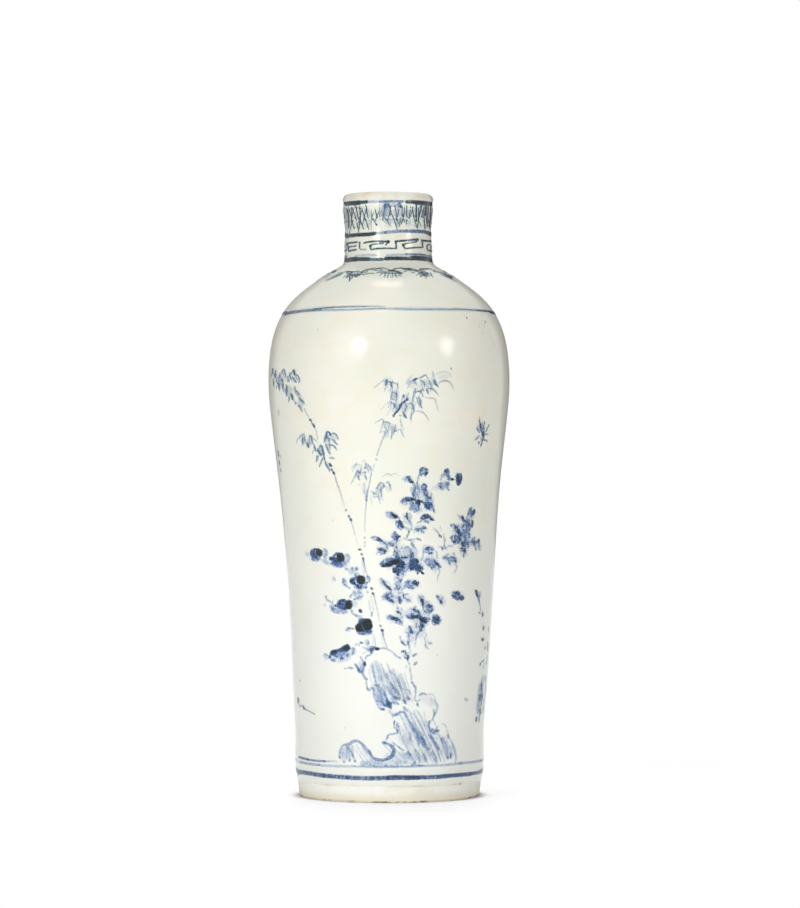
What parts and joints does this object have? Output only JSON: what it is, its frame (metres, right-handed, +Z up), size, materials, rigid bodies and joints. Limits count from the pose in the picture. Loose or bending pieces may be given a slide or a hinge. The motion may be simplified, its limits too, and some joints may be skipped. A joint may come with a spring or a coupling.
{
  "type": "meiping vase",
  "caption": "Slender tall meiping vase with a high round shoulder, a short straight neck, a rounded lip and a narrow ring foot.",
  "frame": {"origin": "centre of the foot ring, on the surface that the vase stands on", "axes": "+Z up along the vase's axis; +X to the right in the picture, whose camera looks along +Y"},
  "size_m": [0.0964, 0.0964, 0.24],
  "materials": {
    "body_clay": "dry, fine-grained unglazed porcelain",
    "slip": "fired slip, matt",
    "outer_glaze": "glossy, faintly ivory clear glaze over cobalt painting",
    "cobalt": "cobalt blue brushwork under the clear glaze, from pale wash to near black",
    "inner_glaze": "glossy, thin clear glaze",
    "base_glaze": "glossy, brushed on thinly"
  },
  "bodies": {
    "root": {"lower_body": "body_clay", "upper_body": "body_clay", "neck": "body_clay", "floor_disc": "body_clay", "waist_slip": "slip", "neck_slip": "slip", "floor_slip": "slip", "outer_glaze": "outer_glaze", "inner_glaze": "inner_glaze", "base_glaze": "base_glaze"}
  },
  "joints": []
}
